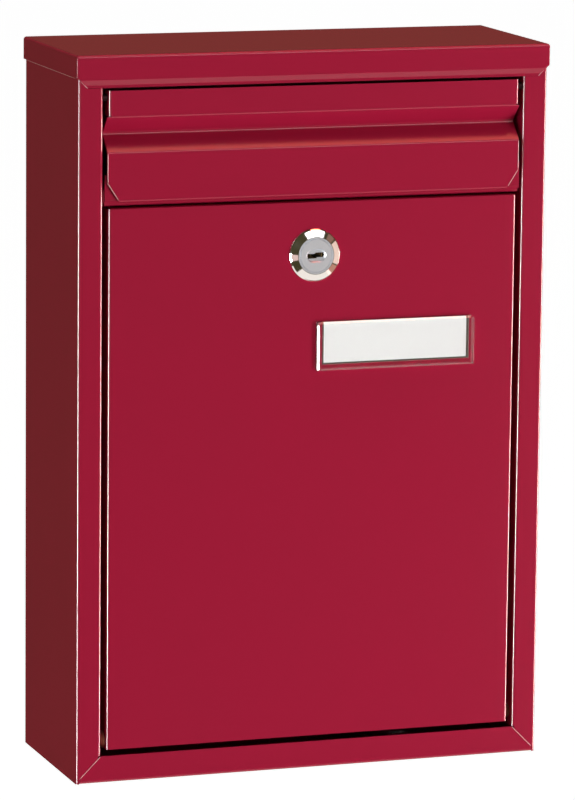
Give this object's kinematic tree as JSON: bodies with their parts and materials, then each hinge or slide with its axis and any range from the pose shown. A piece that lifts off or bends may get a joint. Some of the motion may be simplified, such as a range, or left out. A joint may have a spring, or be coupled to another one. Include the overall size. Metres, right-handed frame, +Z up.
{
  "type": "wall mounted post box",
  "caption": "Folded steel post box with a lift up letter flap, a drop down door with a cam lock and a name holder, and screw holes in its back.",
  "frame": {"origin": "centre of the wall fixing holes, on the back face of the box", "axes": "+Z up, front faces -Y, +Y towards the wall, +X to the right seen from the front"},
  "size_m": [0.2036, 0.0789, 0.3],
  "materials": {
    "red_enamel": "semi gloss stoved paint on steel sheet",
    "zinc_plate": "bright zinc plating",
    "pivot_steel": "plated steel, worn smooth",
    "chrome": "bright chrome on cast zinc",
    "satin_nickel": "satin nickel, lightly turned",
    "spring_steel": "bare spring steel",
    "wafer_brass": "stamped brass",
    "clear_plastic": "clear moulded plastic",
    "dark_plastic": "dark moulded plastic",
    "white_card": "plain white card"
  },
  "bodies": {
    "box": {"housing_shell": "red_enamel", "base_pan": "red_enamel", "top_cap": "red_enamel", "cross_rail": "red_enamel", "flap_pivot_left": "red_enamel", "flap_pivot_right": "red_enamel", "door_pivot_left": "pivot_steel", "door_pivot_right": "pivot_steel"},
    "flap": {"letter_flap": "red_enamel"},
    "door": {"door_panel": "red_enamel", "lock_housing": "chrome", "lock_clip": "spring_steel", "name_window": "clear_plastic", "name_backing": "dark_plastic", "name_card": "white_card"},
    "lock": {"lock_plug": "satin_nickel", "lock_wafers": "wafer_brass", "wafer_springs": "spring_steel", "lock_cam": "zinc_plate", "cam_washer": "zinc_plate", "cam_screw": "zinc_plate"}
  },
  "joints": [
    {"name": "flap_hinge", "type": "hinge", "parent": "box", "child": "flap", "pos_m": [0, -0.0744, 0.13255], "axis": [-1, 0, 0], "range_deg": [0, 100]},
    {"name": "door_hinge", "type": "hinge", "parent": "box", "child": "door", "pos_m": [0, -0.0715, -0.1327], "axis": [1, 0, 0], "range_deg": [0, 100]},
    {"name": "lock_turn", "type": "hinge", "parent": "door", "child": "lock", "pos_m": [0, -0.0765, 0.0657], "axis": [0, 1, 0], "range_deg": [0, 90]}
  ]
}
